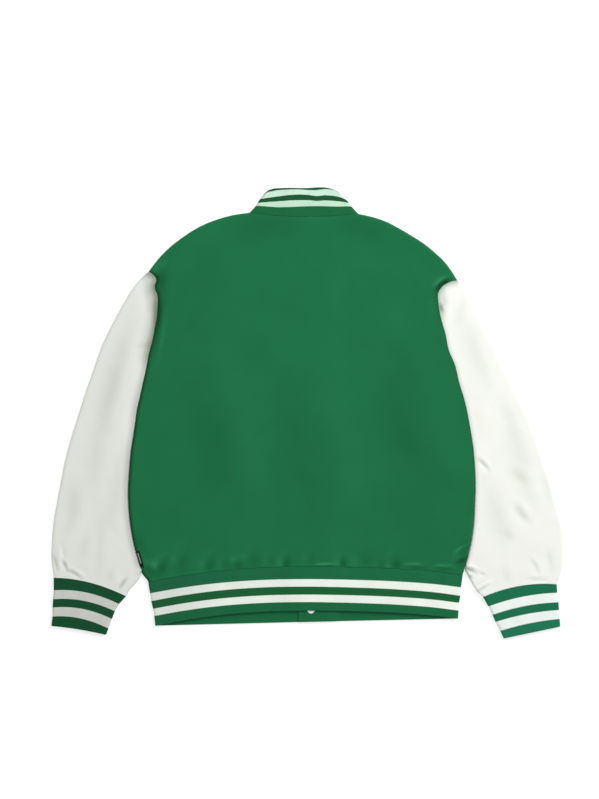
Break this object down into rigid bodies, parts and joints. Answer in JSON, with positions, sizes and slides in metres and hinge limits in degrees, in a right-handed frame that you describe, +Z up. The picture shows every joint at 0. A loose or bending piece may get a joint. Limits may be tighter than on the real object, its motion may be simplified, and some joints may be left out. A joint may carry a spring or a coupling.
{
  "type": "bomber jacket",
  "caption": "Green wool bomber jacket with white leather-look sleeves and striped rib collar, cuffs and hem, laid flat with its back up.",
  "frame": {"origin": "middle of the flat garment's outline, on the surface that it lies on", "axes": "+X to the viewer's right as seen from above, +Y towards the collar, +Z up out of the jacket's back"},
  "size_m": [0.8613, 0.758, 0.0109],
  "materials": {
    "wool": "brushed wool cloth",
    "rib": "rib knit, green with white stripes",
    "leather": "smooth semi-matt",
    "snap": "white enamel",
    "tape": "woven tape, blank"
  },
  "bodies": {
    "root": {"back_panel": "wool", "front_left": "wool", "front_right": "wool", "sleeve_left": "leather", "sleeve_right": "leather", "cuff_left": "rib", "cuff_right": "rib", "hem_rib": "rib", "collar": "rib", "side_label": "tape", "snap_1": "snap", "snap_2": "snap", "snap_3": "snap", "snap_4": "snap", "snap_5": "snap", "snap_6": "snap", "snap_7": "snap"}
  },
  "joints": []
}
